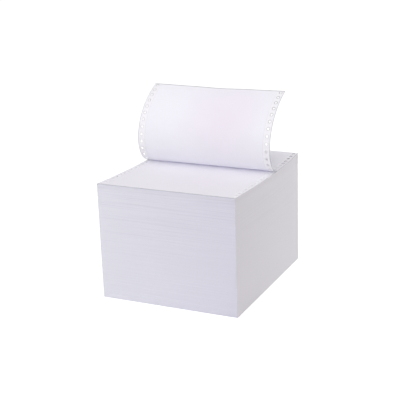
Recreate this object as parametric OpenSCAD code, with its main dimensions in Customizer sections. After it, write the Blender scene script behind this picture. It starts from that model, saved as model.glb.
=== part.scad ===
// Stack of continuous form paper: one web, fan-folded into a pile, with the top page curling up.
// X runs across the web, Y from the front folds to the rear folds, Z up. The pile stands on Z = 0.

/* [Paper] */
// Width of the web, both tractor margins included
form_w = 241.3; // [200:0.1:400]
// Length of a page, from fold to fold
page_l = 279.4; // [240:0.1:320]
// Thickness of one sheet
sheet_t = 0.098; // [0.07:0.001:0.12]
// Number of sheets in the pile
sheet_count = 2000; // [1000:50:2500]

/* [Tractor holes] */
// Diameter of a hole
hole_d = 4; // [3:0.1:5]
// Spacing of the holes along a margin
hole_pitch = 12.7; // [10:0.1:20]
// Side edge of the web to the middle of the holes
hole_inset = 6.35; // [5:0.05:12]

/* [Folds] */
// Height of one bundle of folds, as it shows on the front and rear faces
bundle_h = 4; // [3:0.5:10]
// Depth of the grooves between the bundles
groove_depth = 0.5; // [0.3:0.1:2]

/* [Top of the pile] */
// Front face to the line where the top page leaves the pile, which is also the lowest line of the top
lift_from_front = 180.2; // [140:0.1:200]
// Depth of the dip in the top, between the thicker folded ends
dish = 5.5; // [2:0.5:12]

/* [Curled page] */
// Angle that the curl nears if the page is long enough
curl_turn = 182; // [150:1:200]
// Length along the page in which the curl fades to a third
curl_fade_length = 90; // [80:1:120]

/* [Hidden] */
$fn = 24;

stack_h = sheet_count * sheet_t;
front_y = -page_l / 2;
rear_y = page_l / 2;
lift_y = front_y + lift_from_front;

// Straight pieces in each curve of the side outline
bundle_steps = 4;
dish_steps = 10;
curl_steps = 48;

bundles = round(stack_h / bundle_h);
bundle_pitch = stack_h / bundles;
step_h = bundle_pitch / bundle_steps;
steps = bundles * bundle_steps;

// Holes along one margin of a page, the same distance from both folds
holes = floor(page_l / hole_pitch);
hole_from_fold = (page_l - (holes - 1) * hole_pitch) / 2;

// Depth behind the fold line at a height, zero in the middle of a bundle
function groove(step) = groove_depth * (1 - abs(sin(180 * step / bundle_steps)));

// Height of the top of the pile, which dips to its lowest where the page lifts off
function top_z(y) =
    let (edge_y = y < lift_y ? front_y + groove_depth : rear_y)
    stack_h - dish * (1 - pow((y - lift_y) / (edge_y - lift_y), 2));

// Way along the curled page: how far it has turned up from the flat, and its points in Y and Z
lifted_l = lift_from_front;
curl_step = lifted_l / curl_steps;
function turned(s) = curl_turn * (1 - exp(-s / curl_fade_length));
function forward(s) = [-cos(turned(s)), sin(turned(s))];
function inward(s) = [sin(turned(s)), cos(turned(s))];
curl_points = [
    for (i = 0, p = [lift_y, top_z(lift_y) - sheet_t]; i <= curl_steps;
         p = p + curl_step * forward((i + 0.5) * curl_step), i = i + 1) p
];
function curl_point(s) =
    let (i = max(0, min(curl_steps - 1, floor(s / curl_step))))
    curl_points[i] + (s - i * curl_step) * forward((i + 0.5) * curl_step);

// Shapes that reach through a surface pass it by this much
through = 1;

// The root of the curled page runs back and down into the pile
root = 1.5;

// Extrudes an outline in Y and Z across the web
module across_web() {
    translate([-form_w / 2, 0, 0]) rotate([90, 0, 90]) linear_extrude(form_w) children();
}

// Points of the top between two places in Y, without the first one
function top_points(from_y, to_y) = [
    for (k = [1:dish_steps]) let (y = from_y + k * (to_y - from_y) / dish_steps) [y, top_z(y)]
];

// Front folds up, top back, rear folds down. The rear folds lie half a bundle from the front ones.
module pile_outline() {
    front = [for (k = [0:steps]) [front_y + groove(k), k * step_h]];
    top = concat(top_points(front_y + groove_depth, lift_y), top_points(lift_y, rear_y));
    rear = [for (k = [steps - 1:-1:0]) [rear_y - groove(k + bundle_steps / 2), k * step_h]];
    polygon(concat(front, top, rear));
}

// Under side of the page from the pile to the torn edge, then back along its upper side
module page_outline() {
    under = curl_points;
    upper = [for (i = [curl_steps:-1:0]) curl_points[i] + sheet_t * inward(i * curl_step)];
    polygon(concat(under, upper, [curl_points[0] + [root, -root / 2]]));
}

// Tractor holes of the pile, straight down through every sheet
module pile_holes() {
    for (x = [-1, 1] * (form_w / 2 - hole_inset), k = [0:holes - 1])
        translate([x, front_y + hole_from_fold + k * hole_pitch, -through])
            cylinder(d = hole_d, h = stack_h + 2 * through);
}

// Tractor holes of the lifted part of the page, square to the paper
module page_holes() {
    for (x = [-1, 1] * (form_w / 2 - hole_inset), k = [0:holes - 1]) {
        s = lifted_l - hole_from_fold - k * hole_pitch;
        if (s > -hole_d / 2)
            translate([x, curl_point(s)[0], curl_point(s)[1]])
                rotate([-turned(s), 0, 0]) cylinder(d = hole_d, h = hole_d, center = true);
    }
}

module form_stack() {
    color("white") union() {
        difference() {
            across_web() pile_outline();
            pile_holes();
        }
        difference() {
            across_web() page_outline();
            page_holes();
        }
    }
}

form_stack();
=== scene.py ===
"""A pile of continuous form paper with its top page curling up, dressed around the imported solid."""
import math

import bpy
import numpy as np
from mathutils import Matrix, Vector, geometry


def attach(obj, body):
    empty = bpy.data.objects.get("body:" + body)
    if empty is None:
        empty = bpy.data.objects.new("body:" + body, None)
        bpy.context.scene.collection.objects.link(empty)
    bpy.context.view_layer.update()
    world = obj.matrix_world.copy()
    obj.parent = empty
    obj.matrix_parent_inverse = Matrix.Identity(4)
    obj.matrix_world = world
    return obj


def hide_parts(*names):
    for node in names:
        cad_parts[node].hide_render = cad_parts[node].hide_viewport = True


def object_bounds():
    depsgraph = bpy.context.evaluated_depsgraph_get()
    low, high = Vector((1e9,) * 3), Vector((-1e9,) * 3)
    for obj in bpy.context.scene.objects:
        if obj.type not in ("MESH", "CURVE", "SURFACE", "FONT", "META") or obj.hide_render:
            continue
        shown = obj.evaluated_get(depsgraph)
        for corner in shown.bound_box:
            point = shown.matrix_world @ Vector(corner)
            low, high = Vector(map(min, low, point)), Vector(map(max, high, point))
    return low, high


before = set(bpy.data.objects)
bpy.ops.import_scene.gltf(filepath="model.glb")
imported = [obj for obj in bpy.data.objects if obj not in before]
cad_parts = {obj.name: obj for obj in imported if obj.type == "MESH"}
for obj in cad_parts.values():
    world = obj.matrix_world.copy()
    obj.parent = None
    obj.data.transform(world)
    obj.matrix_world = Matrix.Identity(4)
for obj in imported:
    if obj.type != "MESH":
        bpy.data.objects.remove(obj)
CAD_LO, CAD_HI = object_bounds()

# Sizes of the paper in metres, the same as the solid's
FORM_W = CAD_HI.x - CAD_LO.x
PAGE_L = CAD_HI.y - CAD_LO.y
FRONT_Y, REAR_Y = CAD_LO.y, CAD_HI.y
SHEET_T = 0.000098
PILE_H = 0.196
LIFT_FROM_FRONT = 0.1802
DISH = 0.0055
CURL_TURN = math.radians(182)
CURL_FADE = 0.09
HOLE_R = 0.002
HOLE_PITCH = 0.0127
HOLE_INSET = 0.00635
HOLE_FROM_FOLD = 0.00635
MARGIN = 0.0127
LIFT_Y = FRONT_Y + LIFT_FROM_FRONT
FLAT_L = PAGE_L - LIFT_FROM_FRONT

# Fold ridges on the front and rear faces. Each has its own depth and sways a little along its length.
RIDGES = 245
ROWS_PER_RIDGE = 3
RIDGE_DEPTH = 0.00013
RIDGE_JITTER = 0.00012
RIDGE_SWAY = RIDGE_JITTER / 3
RIDGE_WAVES = (0.4, 1.6)

# Grooves between bundles of ridges: their pitch, its spread and their width in ridges, and their depth.
# Where the pile is pressed a small share of the depth is left, and near its top, where it is loose, more.
BUNDLE_RIDGES = 5
BUNDLE_SPREAD = 0.7
BUNDLE_WIDTH = 0.6
BUNDLE_DEPTH = 0.00012
BUNDLE_SHARE = (0.3, 1)
BUNDLE_SWAY = 0.35
BUNDLE_WAVES = (0.3, 1.2)
BUNDLE_PRESSED, BUNDLE_LOOSE = 0.25, 0.5
LOOSE_FROM, LOOSE_TO = 0.5, 0.95

# The gap under the topmost folds: its distance from the top and its width in ridges, and its depth
TOP_GAP_RIDGES = 1.3
TOP_GAP_WIDTH = 0.5
TOP_GAP_DEPTH = 0.0009
TOP_GAP_SWAY = 0.2

# Worn corners and uneven cut edges
CORNER_WEAR = 0.0005
CORNER_WEAR_W = 0.0008
CORNER_WEAR_SHARE = (0.2, 1)
EDGE_JITTER = 0.00005
EDGE_WAVES = 1.7

# The top sheet of the pile lies this far below the page that is still on it
PAGE_CLEARANCE = 0.00015

# Mesh steps. A collar of points runs round each hole, and the even grid keeps clear of it.
WALL_STEPS = 18
NEAR_CORNER = (0.0004, 0.0012, 0.003)
HOLE_SIDES = 16
COLLAR_SIDES = 12
COLLAR_R = HOLE_R * 1.6
CLEAR_R = HOLE_R * 2.1
GRID = 0.008
PAGE_SIDE_STEP = 0.0025
PAGE_BACK_STEPS = 60

# Torn end of the page: its cuts and the nubs of paper between them, as shares of their pitch and depth
TEAR_PITCH = 0.0042
TEAR_DEPTH = 0.0007
CUT_TO = 0.62
CUT_DEPTH = (0.8, 1)
NUB_FROM, NUB_TO = 0.7, 0.9
NUB_HEIGHT = (0.3, 0.7)

# How far the page sags and ripples between its corners, and the share of its curl where that starts
END_SAG = 0.0018
END_RIPPLE = 0.0003
RIPPLE_WAVES, RIPPLE_START = 2.6, 0.2
SAG_FROM = 0.35

# Camera, with lengths in metres and the focal length in pixels of the photograph's width
PHOTO_PX = 400
SENSOR = 36
CAM_AZIMUTH, CAM_ELEVATION, CAM_ROLL = 25.51, 17.56, -1.86
CAM_PLACE = Vector((0.702, -1.481, 0.658))
CAM_FOCAL_PX = 1018.15

# Colours, 0 to 255. The tones of a sheet are its cool and warm white, its clouds and its margins.
LIFTED_TONES = (250, 250, 253), (248, 244, 250), (245, 245, 249), (252, 252, 253)
# The pile's tones are the lifted page's paper made a little darker: painted shade where the lifted page
# shades the pile's top
PILE_TONES = (241, 240, 245), (240, 237, 243), (236, 235, 240), (243, 243, 246)
BORE_WHITE = (252, 252, 254)
# Painted shade: the folded faces and cut sides are darker than the paper, for the shade between the folds,
# and darken along each face, the front face to the right and the right side towards the front
FOLD_LEFT, FOLD_RIGHT = (236, 237, 244), (226, 226, 236)
CUT_FRONT, CUT_REAR = (233, 231, 234), (247, 246, 249)
# The grey of the level lines is partly painted shade in the gaps between the folds
LINE_GREY = (222, 221, 229)
# The three greys below are painted shade: along the page's cut edges, in its perforation cuts, at the
# pile's vertical edges and under its top; along the torn end; round the holes
EDGE_GREY = (150, 150, 157)
TORN_GREY = (92, 92, 99)
RIM_GREY = (80, 80, 88)

# Widths of the painted shade: along cut edges, along the torn end, round holes, at the pile's corners
# and under its top
EDGE_SHADE_W = 0.0013
TORN_SHADE_W = 0.003
HOLE_SHADE_W = 0.0014
CORNER_SHADE_W = 0.0016
TOP_SHADE_W = 0.012

# Strengths of the painted shade, and of the margins' white
EDGE_SHADE = 0.85
TORN_SHADE = 0.6
PILE_RIM_SHADE, PAGE_RIM_SHADE = 0.1, 0.9
CORNER_SHADE = 0.5
TOP_SHADE = 0.1
PERF_SHADE = 0.6
MARGIN_WHITE = 0.8

# Tear-off perforation between page and margin, whose dashes fill a share of their pitch, and half the
# width in which the margin turns whiter
PERF_W = 0.00025
PERF_PITCH = 0.0016
PERF_DASH = 0.6
MARGIN_SOFT = 0.0004

# Where the painted shade round the hole rims fades by the rear fold, and where it grows again towards the
# free end, and the share of it that the rims between keep
RIM_SHADE_FADES = (0.04, 0.09)
RIM_SHADE_GROWS = (0.15, 0.26)
LEAST_RIM_SHADE = 0.2

# The warmer patch of a page: its middle, across and from the rear fold, and its reach
WARM_PLACE = (0.03, 0.215)
WARM_REACH = 0.1
WARM_PATTERN = (12, 12, 2)

# Patterns of the paper: cycles a metre across and along it, and detail
CLOUD_PATTERN = (90, 90, 4)
CLOUD_RANGE = (0.35, 0.75)
CLOUD_SHARE = 0.25
FIBRE_PATTERN = (900, 2400, 2)
TORN_PATTERN = (160, 160, 2)
BORE_PATTERN = (200, 3200, 2)
NOISE_ROUGHNESS = 0.55

# Level lines on the pile's faces, fine to coarse, their grey partly painted shade between the folds: share
# of the face's streaks, cycles a metre up the pile, and weight. They keep a share of their strength up to
# LINES_FROM of the pile's height.
LINES = ((1.0, 3200, 0.35), (0.6, 620, 0.5), (0.3, 220, 0.15))
LINES_RANGE = (0.3, 0.5)
LINES_PRESSED = 0.15
LINES_FROM = 0.2

# Streaks a metre across the folds and across the cut edges, and how strong the lines are there
FOLD_STREAKS, CUT_STREAKS = 9, 5
FOLD_LINES, CUT_LINES = 0.65, 0.35

# Width of one side of a bore in its flat map
BORE_SIDE_U = 0.0008

# Strength and height of the bumps, roughness and what the fibres add to it, and gloss
PAGE_BUMP = (0.25, 0.00006)
FACE_BUMP = (0.4, 0.0001)
BORE_BUMP = (0.3, 0.0001)
FIBRE_HEIGHT, CLOUD_HEIGHT = 0.2, 0.15
PAGE_ROUGH = (0.62, 0.16)
FACE_ROUGH = (0.72, 0.2)
BORE_ROUGH = 0.85
PAGE_SPECULAR, FACE_SPECULAR, BORE_SPECULAR = 0.3, 0.2, 0.1

# Share of the light that each side of a lifted sheet lets through, and the width in which that starts
PAPER_THROUGH = 0.14
THROUGH_SOFT = 0.002

# Even light from all round, and a floor that shows white, keeps a soft shadow and sends light back up
WORLD_TINT = (0.985, 0.97, 1.0)
WORLD_LIGHT = 0.39
FLOOR_SIZE = 30
FLOOR_Z = -0.0002
FLOOR_BOUNCE = 0.96
FLOOR_SHADOW = 0.4
FLOOR_GLOW = 0.9

# White paper sends light on between its sheets many times
BOUNCES = 24

# Lamps: name, place, width, power and tint
LAMPS = (
    ("left", (-1.6, -0.9, 1.0), 0.9, 9.0, (1.0, 0.985, 1.0)),
    ("front", (0.75, -2.0, 1.05), 1.2, 7.8, (1.0, 0.975, 1.0)),
    ("high", (0.2, -1.0, 2.2), 1.2, 9.2, (1.0, 0.98, 1.0)),
    ("top", (0.1, 0.1, 2.2), 1.2, 7.0, (1.0, 0.98, 1.0)),
    ("right", (1.6, 0.8, 0.8), 0.8, 3.8, (1.0, 0.975, 0.99)),
)

rng = np.random.default_rng(11)


def smooth(a, b, x):
    """0 below a, 1 above b, with a soft step between."""
    t = np.clip((x - a) / (b - a), 0, 1)
    return t * t * (3 - 2 * t)


def top_z(y):
    """Height of the pile's top, which dips to its lowest where the page lifts off."""
    reach = np.where(y < LIFT_Y, FRONT_Y - LIFT_Y, REAR_Y - LIFT_Y)
    return PILE_H - DISH * (1 - ((y - LIFT_Y) / reach) ** 2)


def page_turn(s):
    """How far the page has turned up from the flat, at a length past the lift line."""
    return CURL_TURN * (1 - np.exp(-np.maximum(s, 0) / CURL_FADE))


def curl_table(steps=600):
    """Length and place along the lifted part of the page."""
    s = np.linspace(0, LIFT_FROM_FRONT * 1.01, steps + 1)
    middle = (s[1:] + s[:-1]) / 2
    turned = page_turn(middle)
    ds = s[1] - s[0]
    y = LIFT_Y - np.concatenate([[0], np.cumsum(np.cos(turned) * ds)])
    z = top_z(LIFT_Y) - SHEET_T / 2 + np.concatenate([[0], np.cumsum(np.sin(turned) * ds)])
    return s, y, z


CURL_S, CURL_Y, CURL_Z = curl_table()


def hole_centres(first, last):
    """Places of the tractor holes as (x, distance from the rear fold), between two distances."""
    count = int(round(PAGE_L / HOLE_PITCH))
    rows = [HOLE_FROM_FOLD + k * HOLE_PITCH for k in range(count)]
    sides = (-FORM_W / 2 + HOLE_INSET, FORM_W / 2 - HOLE_INSET)
    return [(x, d) for x in sides for d in rows if first < d < last]


def circle(centre, radius, sides=HOLE_SIDES):
    """Points of a circle in the flat."""
    angles = np.arange(sides) * 2 * math.pi / sides
    return np.array(centre) + radius * np.stack([np.cos(angles), np.sin(angles)], 1)


def inside(points, outline):
    """Which of the points lie inside an outline."""
    x, y = points[:, :1], points[:, 1:]
    x0, y0 = outline.T
    x1, y1 = np.roll(outline, -1, 0).T
    crossed = (y0 > y) != (y1 > y)
    rise = np.where(crossed, y1 - y0, 1)
    to_right = crossed & (x0 + (y - y0) * (x1 - x0) / rise > x)
    return to_right.sum(1) % 2 == 1


def punched_sheet(outline, holes, step_x, step_y):
    """Triangulates a flat outline with round holes, counterclockwise.

    Its points are the outline, one ring for each hole, then points inside.
    """
    outline, holes = np.asarray(outline), np.asarray(holes)
    rings = np.concatenate([circle(c, HOLE_R) for c in holes])
    collars = np.concatenate([circle(c, COLLAR_R, COLLAR_SIDES) for c in holes])
    lo, hi = outline.min(0), outline.max(0)
    xs = np.linspace(lo[0], hi[0], int((hi[0] - lo[0]) / step_x) + 1)[1:-1]
    ys = np.linspace(lo[1], hi[1], int((hi[1] - lo[1]) / step_y) + 1)[1:-1]
    inner = np.array([(x, y) for x in xs for y in ys])
    clear = np.linalg.norm(inner[:, None] - holes[None], axis=2).min(1)
    points = np.concatenate([outline, rings, collars, inner[clear > CLEAR_R]])
    n = len(outline)
    edges = [(i, (i + 1) % n) for i in range(n)]
    for start in range(n, n + len(rings), HOLE_SIDES):
        edges += [(start + i, start + (i + 1) % HOLE_SIDES) for i in range(HOLE_SIDES)]
    out = geometry.delaunay_2d_cdt([Vector(p) for p in points], edges, [], 1, 1e-9, True)
    origin = np.array([ids[0] for ids in out[3]])
    faces = origin[np.array([f for f in out[2] if len(f) == 3])]
    middle = points[faces].mean(1)
    in_hole = np.linalg.norm(middle[:, None] - holes[None], axis=2).min(1) < HOLE_R * 0.98
    faces = faces[inside(middle, outline) & ~in_hole]
    a, b, c = (points[faces[:, i]] for i in range(3))
    turn = (b[:, 0] - a[:, 0]) * (c[:, 1] - a[:, 1]) - (b[:, 1] - a[:, 1]) * (c[:, 0] - a[:, 0])
    faces[turn < 0] = faces[turn < 0][:, ::-1]
    return points, faces


def make_piece(name, verts, faces, corner_uvs, materials, slots):
    """A mesh object that rides with the pile and stands for its solid.

    faces and corner_uvs are lists in the same order, one UV pair for each corner.
    """
    mesh = bpy.data.meshes.new(name)
    mesh.from_pydata([tuple(v) for v in verts], [], [tuple(int(i) for i in f) for f in faces])
    layer = mesh.uv_layers.new(name="flat")
    layer.data.foreach_set("uv", np.concatenate(corner_uvs).astype(np.float32).ravel())
    for material in materials:
        mesh.materials.append(material)
    mesh.polygons.foreach_set("material_index", np.asarray(slots, np.int32))
    mesh.polygons.foreach_set("use_smooth", np.ones(len(mesh.polygons), bool))
    mesh.update()
    mesh.set_sharp_from_angle(angle=math.radians(60))
    piece = bpy.data.objects.new(name, mesh)
    bpy.context.scene.collection.objects.link(piece)
    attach(piece, "root")
    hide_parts("form_stack")
    return piece


def ridge_recess(across, rows):
    """Depth of each fold ridge, from its own place behind the plane and its sway."""
    ridge = rows // ROWS_PER_RIDGE
    phase = rows % ROWS_PER_RIDGE
    out = np.repeat(RIDGE_DEPTH * (1 - np.sin(math.pi * phase / ROWS_PER_RIDGE))[:, None], len(across), 1)
    out += rng.uniform(0, RIDGE_JITTER, RIDGES + 1)[ridge][:, None]
    sway = rng.uniform(0, RIDGE_SWAY, RIDGES + 1)
    start = rng.uniform(0, 1, RIDGES + 1)
    waves = rng.uniform(*RIDGE_WAVES, RIDGES + 1)
    angle = 2 * math.pi * (across[None] * waves[ridge][:, None] + start[ridge][:, None])
    return out + sway[ridge][:, None] * (1 + np.cos(angle))


def bundle_recess(across, place):
    """Grooves between bundles of ridges, each with its own depth, which varies along it."""
    out = np.zeros((len(place), len(across)))
    edge = rng.uniform(0, BUNDLE_RIDGES)
    while edge < RIDGES:
        deep = BUNDLE_DEPTH * rng.uniform(*BUNDLE_SHARE)
        angle = 2 * math.pi * (across * rng.uniform(*BUNDLE_WAVES) + rng.uniform(0, 1))
        loose = smooth(LOOSE_FROM, LOOSE_TO, edge / RIDGES)
        deep *= BUNDLE_PRESSED + (BUNDLE_LOOSE - BUNDLE_PRESSED) * loose
        profile = np.exp(-((place - edge) / BUNDLE_WIDTH) ** 2)
        out += deep * profile[:, None] * (1 - BUNDLE_SWAY + BUNDLE_SWAY * np.cos(angle))[None]
        edge += BUNDLE_RIDGES + rng.uniform(-BUNDLE_SPREAD, BUNDLE_SPREAD)
    return out


def fold_recess(x, rows):
    """How far the folds of one face lie behind its plane, for rows of the wall and places across it."""
    across = x / FORM_W
    place = rows / ROWS_PER_RIDGE
    out = ridge_recess(across, rows) + bundle_recess(across, place)
    gap = np.exp(-((place - RIDGES + TOP_GAP_RIDGES) / TOP_GAP_WIDTH) ** 2)
    sway = 1 - TOP_GAP_SWAY + TOP_GAP_SWAY * np.cos(5 * across + 1)
    out += TOP_GAP_DEPTH * gap[:, None] * sway[None]
    return out + corner_recess(x, FORM_W, rows)


def corner_recess(place, run, rows):
    """Worn corners: each layer's corner is a little shorter than the layer, by its own amount."""
    to_end = run / 2 - np.abs(place)
    wear = rng.uniform(*CORNER_WEAR_SHARE, RIDGES + 1)[rows // ROWS_PER_RIDGE] * CORNER_WEAR
    return wear[:, None] * np.exp(-to_end / CORNER_WEAR_W)[None]


def edge_recess(y, rows):
    """How far the cut edges of the sheets lie behind the side's plane."""
    ridge = rows // ROWS_PER_RIDGE
    step = rng.uniform(0, EDGE_JITTER, RIDGES + 1)
    level = rows / rows.max()
    drift = EDGE_JITTER * (1 + np.sin(2 * math.pi * (EDGE_WAVES * level + rng.uniform(0, 1))))
    return (step[ridge] + drift)[:, None] + corner_recess(y, PAGE_L, rows)


def wall_places(run):
    """Places along a wall, closer together at its two ends, without the last one."""
    even = np.linspace(0, run, WALL_STEPS + 1)[1:-1]
    near = np.array(NEAR_CORNER)
    return np.concatenate([[0], near, even, run - near[::-1]])


def pile_walls():
    """Rows of points round the pile, as (row, place, xyz), and each row's share of the height."""
    x_run, y_run = wall_places(FORM_W), wall_places(PAGE_L)
    right, left = np.full(len(y_run), FORM_W / 2), np.full(len(y_run), -FORM_W / 2)
    front, rear = np.full(len(x_run), FRONT_Y), np.full(len(x_run), REAR_Y)
    x = np.concatenate([x_run - FORM_W / 2, right, FORM_W / 2 - x_run, left])
    y = np.concatenate([front, FRONT_Y + y_run, rear, REAR_Y - y_run])
    rows = np.arange(RIDGES * ROWS_PER_RIDGE + 1)
    level = rows / rows[-1]
    points = np.zeros((len(rows), len(x), 3))
    points[:, :, 0] = x[None]
    points[:, :, 1] = y[None]
    points[:, :, 2] = level[:, None] * (top_z(y) - PAGE_CLEARANCE)[None]
    front, rear = np.isclose(y, FRONT_Y), np.isclose(y, REAR_Y)
    right, left = np.isclose(x, FORM_W / 2), np.isclose(x, -FORM_W / 2)
    points[:, front, 1] += fold_recess(x[front], rows)
    points[:, rear, 1] -= fold_recess(x[rear], rows)
    points[:, right, 0] -= edge_recess(y[right], rows)
    points[:, left, 0] += edge_recess(y[left], rows)
    return points, level


def wall_faces(level, around):
    """Faces, UVs and material slots of the four walls. Each wall's U starts at its own whole number."""
    faces, uvs, slots = [], [], []
    per_side = around // 4
    runs = [np.append(wall_places(run), run) for run in (FORM_W, PAGE_L) * 2]
    for k in range(len(level) - 1):
        low, high = k * around, (k + 1) * around
        v0, v1 = level[k] * PILE_H, level[k + 1] * PILE_H
        for j in range(around):
            after = (j + 1) % around
            faces.append((low + j, low + after, high + after, high + j))
            side = j // per_side
            u0, u1 = side + runs[side][j % per_side], side + runs[side][j % per_side + 1]
            uvs.append(np.array([(u0, v0), (u1, v0), (u1, v1), (u0, v1)]))
            slots.append(side % 2)
    return faces, uvs, slots


def outer_sheet(walls, row, base, holes):
    """Top sheet, or bottom sheet for row 0, inside a row of the walls: its own points, faces and UVs.

    Its own points are numbered from base on.
    """
    around = walls.shape[1]
    points, triangles = punched_sheet(walls[row, :, :2], holes, GRID, GRID)
    new = points[around:]
    z = top_z(new[:, 1]) - PAGE_CLEARANCE if row else np.zeros(len(new))
    if not row:
        triangles = triangles[:, ::-1]
    index = np.concatenate([row * around + np.arange(around), base + np.arange(len(new))])
    faces = [tuple(index[t]) for t in triangles]
    uvs = [points[t] * (1, -1) + (0, REAR_Y) for t in triangles]
    return np.column_stack([new, z]), faces, uvs


def bore_faces(top, bottom, hole_count):
    """Faces and UVs of the tractor holes' walls, between the rings of the top and bottom sheets."""
    faces, uvs = [], []
    for start in range(0, hole_count * HOLE_SIDES, HOLE_SIDES):
        for i in range(HOLE_SIDES):
            a, b = start + i, start + (i + 1) % HOLE_SIDES
            faces.append((top + a, top + b, bottom + b, bottom + a))
            uvs.append(np.array([(a, PILE_H), (b, PILE_H), (b, 0), (a, 0)]) * (BORE_SIDE_U, 1))
    return faces, uvs


def make_pile(folds, edges, page, bores):
    """The folded sheets: ridges front and rear, cut edges at the sides, tractor holes right through."""
    walls, level = pile_walls()
    row_count, around = walls.shape[:2]
    holes = np.array([(x, REAR_Y - d) for x, d in hole_centres(0, PAGE_L)])
    verts = [walls.reshape(-1, 3)]
    faces, uvs, slots = wall_faces(level, around)
    base = row_count * around
    starts = []
    for row in (row_count - 1, 0):
        sheet_verts, sheet_faces, sheet_uvs = outer_sheet(walls, row, base, holes)
        verts.append(sheet_verts)
        faces += sheet_faces
        uvs += sheet_uvs
        slots += [2] * len(sheet_faces)
        starts.append(base)
        base += len(sheet_verts)
    more_faces, more_uvs = bore_faces(*starts, len(holes))
    faces += more_faces
    uvs += more_uvs
    slots += [3] * len(more_faces)
    return make_piece("folded_pile", np.concatenate(verts), faces, uvs, (folds, edges, page, bores), slots)


def torn_edge():
    """The page's free end, torn along its fold's perforation: short nubs of paper between the cuts."""
    points = []
    cut = PAGE_L - TEAR_DEPTH
    x = -FORM_W / 2
    while x < FORM_W / 2 - TEAR_PITCH:
        nub = rng.uniform(*NUB_HEIGHT) * TEAR_DEPTH
        points += [(x, cut), (x + TEAR_PITCH * CUT_TO, PAGE_L - TEAR_DEPTH * rng.uniform(*CUT_DEPTH))]
        points += [(x + TEAR_PITCH * NUB_FROM, cut + nub), (x + TEAR_PITCH * NUB_TO, cut + nub)]
        x += TEAR_PITCH
    return points + [(FORM_W / 2, cut)]


def page_place(x, d):
    """Middle of the sheet and its upward normal, at a place x across and d from the rear fold."""
    s = d - FLAT_L
    flat_y = REAR_Y - d
    lifted = s > 0
    y = np.where(lifted, np.interp(s, CURL_S, CURL_Y), flat_y)
    z = np.where(lifted, np.interp(s, CURL_S, CURL_Z), top_z(flat_y) - SHEET_T / 2)
    turned = page_turn(s)
    normal = np.stack([0 * turned, np.sin(turned), np.cos(turned)], 1)
    across = x / FORM_W
    free = smooth(SAG_FROM, 1, s / LIFT_FROM_FRONT)
    wave = END_SAG * np.cos(math.pi * across) ** 2
    ripple = np.sin(2 * math.pi * (RIPPLE_WAVES * across + RIPPLE_START)) * np.cos(math.pi * across)
    push = free * (wave + END_RIPPLE * ripple)
    middle = np.stack([x, y, z], 1) + push[:, None] * normal
    return middle, normal


def make_page(page):
    """The top page: flat from the rear fold to the lift line, then curling up to its torn end."""
    side = np.arange(0, PAGE_L - TEAR_DEPTH, PAGE_SIDE_STEP)
    back_x = np.linspace(-FORM_W / 2, FORM_W / 2, PAGE_BACK_STEPS + 1)[:-1]
    outline = [(x, 0.0) for x in back_x]
    outline += [(FORM_W / 2, d) for d in side]
    outline += torn_edge()[::-1]
    outline += [(-FORM_W / 2, d) for d in side[:0:-1]]
    flat, triangles = punched_sheet(outline, hole_centres(0, PAGE_L), GRID / 2, GRID / 3)
    middle, normal = page_place(flat[:, 0], flat[:, 1])
    count = len(flat)
    verts = np.concatenate([middle + normal * SHEET_T / 2, middle - normal * SHEET_T / 2])
    faces = [tuple(t) for t in triangles[:, ::-1]] + [tuple(t + count) for t in triangles]
    uvs = [flat[t] for t in triangles[:, ::-1]] + [flat[t] for t in triangles]
    pairs = np.concatenate([triangles[:, [0, 1]], triangles[:, [1, 2]], triangles[:, [2, 0]]])
    known = {tuple(e) for e in pairs}
    for a, b in sorted(e for e in known if e[::-1] not in known):
        faces.append((b + count, a + count, a, b))
        uvs.append(flat[[b, a, a, b]])
    return make_piece("lifted_page", verts, faces, uvs, (page,), np.zeros(len(faces)))


def srgb(r, g, b):
    """A colour given in 0 to 255, as linear values."""
    linear = [((c / 255 + 0.055) / 1.055) ** 2.4 for c in (r, g, b)]
    return (*linear, 1)


def grey(level):
    """A plain grey, given as a linear value."""
    return (level, level, level, 1)


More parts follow.
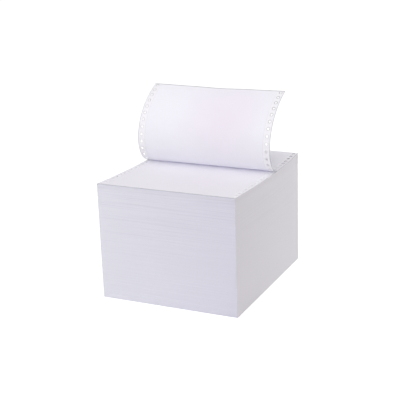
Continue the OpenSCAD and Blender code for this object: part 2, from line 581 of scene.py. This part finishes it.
class Nodes:
    """Short calls for the nodes of one material or world."""

    def __init__(self, owner):
        owner.use_nodes = True
        self.owner = owner
        self.tree = owner.node_tree
        self.shader = self.tree.nodes.get("Principled BSDF")

    def add(self, kind, values=None, **settings):
        """A new node with its settings, and its sockets set or linked."""
        node = self.tree.nodes.new(kind)
        for key, value in settings.items():
            setattr(node, key, value)
        for socket, value in (values or {}).items():
            self.join(value, node.inputs[socket])
        return node

    def join(self, value, socket):
        """Links an output to the socket, or sets the socket to a plain value."""
        if isinstance(value, bpy.types.NodeSocket):
            self.tree.links.new(value, socket)
        else:
            socket.default_value = value

    def math(self, operation, *values):
        """Result of a sum on plain values and outputs."""
        node = self.add("ShaderNodeMath", operation=operation)
        for socket, value in zip(node.inputs, values):
            self.join(value, socket)
        return node.outputs[0]

    def uv(self):
        """Place on the flat paper, in metres across and along."""
        flat = self.add("ShaderNodeUVMap", uv_map="flat")
        node = self.add("ShaderNodeSeparateXYZ", {"Vector": flat.outputs[0]})
        return node.outputs[0], node.outputs[1]

    def noise(self, u, v, scale_u, scale_v, detail):
        """Noise over the flat paper, with its own scale along each direction, in cycles a metre."""
        x, y = self.math("MULTIPLY", u, scale_u), self.math("MULTIPLY", v, scale_v)
        vector = self.add("ShaderNodeCombineXYZ", {"X": x, "Y": y})
        values = {"Vector": vector.outputs[0], "Scale": 1.0, "Detail": detail,
                  "Roughness": NOISE_ROUGHNESS}
        return self.add("ShaderNodeTexNoise", values).outputs["Fac"]

    def ramp(self, fac, low, high, start=0.0, end=1.0):
        """A colour that goes from low to high while fac goes from start to end."""
        node = self.add("ShaderNodeValToRGB", {"Fac": fac})
        first, last = node.color_ramp.elements
        first.position, last.position = start, end
        first.color, last.color = low, high
        return node.outputs["Color"]

    def step(self, value, start, end):
        """0 below start and 1 above end, softly, for a value in metres."""
        node = self.add("ShaderNodeMapRange", {"Value": value, "From Min": start, "From Max": end},
                        interpolation_type="SMOOTHSTEP")
        return node.outputs["Result"]

    def mix(self, fac, a, b, blend="MIX"):
        """Colour a with the share fac of colour b."""
        node = self.add("ShaderNodeMix", data_type="RGBA", blend_type=blend)
        for socket, value in zip((node.inputs[0], node.inputs[6], node.inputs[7]), (fac, a, b)):
            self.join(value, socket)
        return node.outputs[2]

    def rough(self, fibre, least, more):
        """A roughness that the fibres add to."""
        return self.math("ADD", least, self.math("MULTIPLY", fibre, more))

    def bump(self, height, strength, distance):
        """Fine relief from a height pattern."""
        node = self.add("ShaderNodeBump", {"Height": height, "Strength": strength, "Distance": distance})
        self.tree.links.new(node.outputs[0], self.shader.inputs["Normal"])

    def blend_shaders(self, share, first, second):
        """The first shader with the given share of the second."""
        node = self.add("ShaderNodeMixShader", {"Fac": share})
        self.join(first.outputs[0], node.inputs[1])
        self.join(second.outputs[0], node.inputs[2])
        return node.outputs[0]

    def seen(self):
        """1 where a ray shows the stage itself: straight, as a reflection or through glass."""
        path = self.add("ShaderNodeLightPath")
        seen = self.math("MAXIMUM", path.outputs["Is Camera Ray"], path.outputs["Is Glossy Ray"])
        return self.math("MAXIMUM", seen, path.outputs["Is Transmission Ray"])

    def surface(self, shader):
        """Makes a shader the material's surface."""
        self.join(shader, self.tree.nodes["Material Output"].inputs["Surface"])

    def let_through(self, share, color):
        """Sends a share of the light on through the surface, spread evenly."""
        soft = self.add("ShaderNodeBsdfTranslucent", {"Color": color})
        self.surface(self.blend_shaders(share, self.shader, soft))

    def finish(self, color, roughness, specular):
        """Sets the paper's colour and gloss, and gives back the material."""
        self.join(color, self.shader.inputs["Base Color"])
        self.join(roughness, self.shader.inputs["Roughness"])
        self.shader.inputs["Specular IOR Level"].default_value = specular
        return self.owner


def new_material(name):
    """The nodes of a new material."""
    return Nodes(bpy.data.materials.new(name))


def near_line(m, distance, width):
    """1 at a distance of 0, falling softly to 0 at the given width."""
    return m.math("SUBTRACT", 1.0, m.step(distance, 0.0, width))


def length(m, a, b):
    """Length of the vector with the parts a and b."""
    return m.math("SQRT", m.math("ADD", m.math("POWER", a, 2.0), m.math("POWER", b, 2.0)))


def paper_colour(m, u, v, cool, warm, cloudy):
    """Uncoated paper: faint cloudiness and a warmer patch in a cool white."""
    off_u, off_v = (m.math("SUBTRACT", a, b) for a, b in zip((u, v), WARM_PLACE))
    wobble = m.math("MULTIPLY", m.math("SUBTRACT", m.noise(u, v, *WARM_PATTERN), 0.5), WARM_REACH)
    near = near_line(m, m.math("ADD", length(m, off_u, off_v), wobble), WARM_REACH)
    color = m.mix(near, srgb(*cool), srgb(*warm))
    cloud = m.step(m.noise(u, v, *CLOUD_PATTERN), *CLOUD_RANGE)
    return m.mix(m.math("MULTIPLY", cloud, CLOUD_SHARE), color, srgb(*cloudy))


def bore_material():
    """The walls of the tractor holes: many clean cut edges, one above the other."""
    m = new_material("bore_walls")
    u, v = m.uv()
    layers = m.noise(u, v, *BORE_PATTERN)
    m.bump(layers, *BORE_BUMP)
    color = m.ramp(layers, srgb(*CUT_REAR), srgb(*BORE_WHITE), *LINES_RANGE)
    return m.finish(color, BORE_ROUGH, BORE_SPECULAR)


def whiter_margins(m, color, off_edge, white):
    """The margins outside the perforations."""
    in_margin = m.math("SUBTRACT", 1.0, m.step(off_edge, MARGIN - MARGIN_SOFT, MARGIN + MARGIN_SOFT))
    return m.mix(m.math("MULTIPLY", in_margin, MARGIN_WHITE), color, srgb(*white))


def painted_edge_shade(m, color, u, v, off_edge):
    """Painted shade along the cut side edges, and ragged painted shade along the torn end."""
    side = near_line(m, off_edge, EDGE_SHADE_W)
    color = m.mix(m.math("MULTIPLY", side, EDGE_SHADE), color, srgb(*EDGE_GREY))
    torn = near_line(m, m.math("SUBTRACT", PAGE_L, v), TORN_SHADE_W)
    ragged = m.math("MULTIPLY", m.noise(u, v, *TORN_PATTERN), TORN_SHADE)
    ragged = m.math("ADD", TORN_SHADE, ragged)
    return m.mix(m.math("MULTIPLY", torn, ragged), color, srgb(*TORN_GREY))


def painted_rim_shade(m, color, v, off_edge, rim_shade):
    """Painted shade round the rims of the tractor holes, strongest by the rear fold and towards the free
    end.
    """
    row = m.math("SUBTRACT", m.math("FRACT", m.math("DIVIDE", v, HOLE_PITCH)), 0.5)
    radius = length(m, m.math("MULTIPLY", row, HOLE_PITCH), m.math("SUBTRACT", off_edge, HOLE_INSET))
    rim = near_line(m, m.math("SUBTRACT", radius, HOLE_R), HOLE_SHADE_W)
    shade_share = m.math("SUBTRACT", m.math("ADD", 1.0, m.step(v, *RIM_SHADE_GROWS)), m.step(v, *RIM_SHADE_FADES))
    shade_share = m.math("ADD", LEAST_RIM_SHADE, m.math("MULTIPLY", shade_share, 1 - LEAST_RIM_SHADE))
    rim = m.math("MULTIPLY", rim, m.math("MULTIPLY", shade_share, rim_shade))
    return m.mix(rim, color, srgb(*RIM_GREY))


def perforation(m, v, off_edge):
    """1 in the fine cuts between page and margin."""
    from_line = m.math("ABSOLUTE", m.math("SUBTRACT", off_edge, MARGIN))
    dash = m.math("LESS_THAN", m.math("FRACT", m.math("DIVIDE", v, PERF_PITCH)), PERF_DASH)
    return m.math("MULTIPLY", near_line(m, from_line, PERF_W), dash)


def page_material(name, tones, through, rim_shade):
    """Smooth uncoated paper with fibres, white margins and perforations, and painted shade along its
    edges, in its perforation cuts and round its holes.
    """
    m = new_material(name)
    u, v = m.uv()
    off_edge = m.math("SUBTRACT", FORM_W / 2, m.math("ABSOLUTE", u))
    color = paper_colour(m, u, v, *tones[:3])
    color = whiter_margins(m, color, off_edge, tones[3])
    color = painted_edge_shade(m, color, u, v, off_edge)
    color = painted_rim_shade(m, color, v, off_edge, rim_shade)
    cut = perforation(m, v, off_edge)
    # Painted shade in the perforation cuts
    color = m.mix(m.math("MULTIPLY", cut, PERF_SHADE), color, srgb(*EDGE_GREY))
    fibre = m.noise(u, v, *FIBRE_PATTERN)
    cloud = m.noise(u, v, *CLOUD_PATTERN)
    fibres, clouds = m.math("MULTIPLY", fibre, FIBRE_HEIGHT), m.math("MULTIPLY", cloud, CLOUD_HEIGHT)
    m.bump(m.math("SUBTRACT", m.math("ADD", fibres, clouds), cut), *PAGE_BUMP)
    if through:
        lifted = m.step(v, FLAT_L, FLAT_L + THROUGH_SOFT)
        m.let_through(m.math("MULTIPLY", lifted, through), color)
    return m.finish(color, m.rough(fibre, *PAGE_ROUGH), PAGE_SPECULAR)


def level_lines(m, u, v, streak_u):
    """Lines of sheets, fine to coarse, and the finest of them alone."""
    layers = [m.noise(u, v, streak_u * across, up, 2) for across, up, weight in LINES]
    weighed = [m.math("MULTIPLY", layer, weight) for layer, (across, up, weight) in zip(layers, LINES)]
    lines = m.math("ADD", m.math("ADD", weighed[0], weighed[1]), weighed[2])
    return lines, layers[0]


def layered_material(name, start, end, run, shaded_edge_at, streak_u, line_strength):
    """Faces of the pile: painted shade that changes along each face, level lines of sheets whose grey is
    partly painted shade between the folds, fainter lower down where they are pressed, and painted shade
    along one vertical edge and under the top.
    """
    m = new_material(name)
    u, v = m.uv()
    along = m.math("FRACT", u)
    lines, fine = level_lines(m, u, v, streak_u)
    # Painted shade that darkens or lightens along the face, from the start colour to the end colour
    base = m.ramp(m.math("DIVIDE", along, run), srgb(*start), srgb(*end))
    # The lines' grey is partly painted shade in the gaps between the folds, stronger near the top where
    # the pile is loose
    dark = m.ramp(lines, srgb(*LINE_GREY), grey(1), *LINES_RANGE)
    loose = m.math("MULTIPLY", m.step(v, PILE_H * LINES_FROM, PILE_H), 1 - LINES_PRESSED)
    loose = m.math("MULTIPLY", m.math("ADD", LINES_PRESSED, loose), line_strength)
    color = m.mix(loose, base, dark, "MULTIPLY")
    # Painted shade along one vertical edge of the face
    corner = near_line(m, m.math("ABSOLUTE", m.math("SUBTRACT", along, shaded_edge_at)), CORNER_SHADE_W)
    color = m.mix(m.math("MULTIPLY", corner, CORNER_SHADE), color, srgb(*EDGE_GREY))
    # Painted shade under the pile's top edge
    under_top = near_line(m, m.math("SUBTRACT", PILE_H, v), TOP_SHADE_W)
    color = m.mix(m.math("MULTIPLY", under_top, TOP_SHADE * line_strength), color, srgb(*EDGE_GREY))
    m.bump(lines, *FACE_BUMP)
    return m.finish(color, m.rough(fine, *FACE_ROUGH), FACE_SPECULAR)


def make_floor():
    """Pale floor that shows as white in the picture and keeps the pile's soft shadow."""
    mesh = bpy.data.meshes.new("floor")
    r = FLOOR_SIZE
    corners = [(-r, -r, FLOOR_Z), (r, -r, FLOOR_Z), (r, r, FLOOR_Z), (-r, r, FLOOR_Z)]
    mesh.from_pydata(corners, [], [(0, 1, 2, 3)])
    m = new_material("pale_floor")
    m.tree.nodes.remove(m.shader)
    plain = m.add("ShaderNodeBsdfDiffuse", {"Color": grey(FLOOR_BOUNCE)})
    pale = m.add("ShaderNodeBsdfDiffuse", {"Color": grey(FLOOR_SHADOW)})
    glow = m.add("ShaderNodeEmission", {"Color": grey(1), "Strength": FLOOR_GLOW})
    both = m.add("ShaderNodeAddShader")
    m.join(pale.outputs[0], both.inputs[0])
    m.join(glow.outputs[0], both.inputs[1])
    m.surface(m.blend_shaders(m.seen(), plain, both))
    mesh.materials.append(m.owner)
    floor = bpy.data.objects.new("floor", mesh)
    bpy.context.scene.collection.objects.link(floor)


def make_world():
    """Even light from all round, seen as plain white."""
    m = Nodes(bpy.data.worlds.new("studio"))
    m.tree.nodes.clear()
    light = m.add("ShaderNodeBackground", {"Color": (*WORLD_TINT, 1), "Strength": WORLD_LIGHT})
    white = m.add("ShaderNodeBackground", {"Color": grey(1)})
    out = m.add("ShaderNodeOutputWorld")
    m.join(m.blend_shaders(m.seen(), light, white), out.inputs["Surface"])
    bpy.context.scene.world = m.owner


def make_lamp(name, place, size, power, color):
    """A large soft lamp that points at the middle of the pile."""
    data = bpy.data.lights.new(name, "AREA")
    data.size = size
    data.energy = power
    data.color = color
    lamp = bpy.data.objects.new(name, data)
    lamp.location = place
    aim = Vector((0, 0, PILE_H)) - Vector(place)
    lamp.rotation_euler = aim.to_track_quat("-Z", "Y").to_euler()
    bpy.context.scene.collection.objects.link(lamp)


def make_camera():
    """The photograph's view: a little above and to the right of the pile, rolled slightly."""
    a, e, roll = (math.radians(v) for v in (CAM_AZIMUTH, CAM_ELEVATION, CAM_ROLL))
    back = Vector((math.sin(a) * math.cos(e), -math.cos(a) * math.cos(e), math.sin(e)))
    right = Vector((0, 0, 1)).cross(back).normalized()
    up = back.cross(right)
    rolled_right = right * math.cos(roll) + up * math.sin(roll)
    rolled_up = up * math.cos(roll) - right * math.sin(roll)
    data = bpy.data.cameras.new("camera")
    data.sensor_width = SENSOR
    data.lens = CAM_FOCAL_PX / PHOTO_PX * SENSOR
    camera = bpy.data.objects.new("camera", data)
    turn = Matrix((rolled_right, rolled_up, back)).transposed()
    camera.matrix_world = Matrix.Translation(CAM_PLACE) @ turn.to_4x4()
    bpy.context.scene.collection.objects.link(camera)
    bpy.context.scene.camera = camera


bpy.context.scene.view_settings.view_transform = "Standard"
bpy.context.scene.cycles.max_bounces = BOUNCES
bpy.context.scene.cycles.diffuse_bounces = BOUNCES
make_camera()
make_world()
make_floor()
for lamp in LAMPS:
    make_lamp(*lamp)
fold_paper = layered_material("folded_edges", FOLD_LEFT, FOLD_RIGHT, FORM_W, 0, FOLD_STREAKS, FOLD_LINES)
cut_paper = layered_material("cut_edges", CUT_FRONT, CUT_REAR, PAGE_L, PAGE_L, CUT_STREAKS, CUT_LINES)
flat_paper = page_material("pile_paper", PILE_TONES, 0, PILE_RIM_SHADE)
page_paper = page_material("page_paper", LIFTED_TONES, PAPER_THROUGH, PAGE_RIM_SHADE)
make_pile(fold_paper, cut_paper, flat_paper, bore_material())
make_page(page_paper)
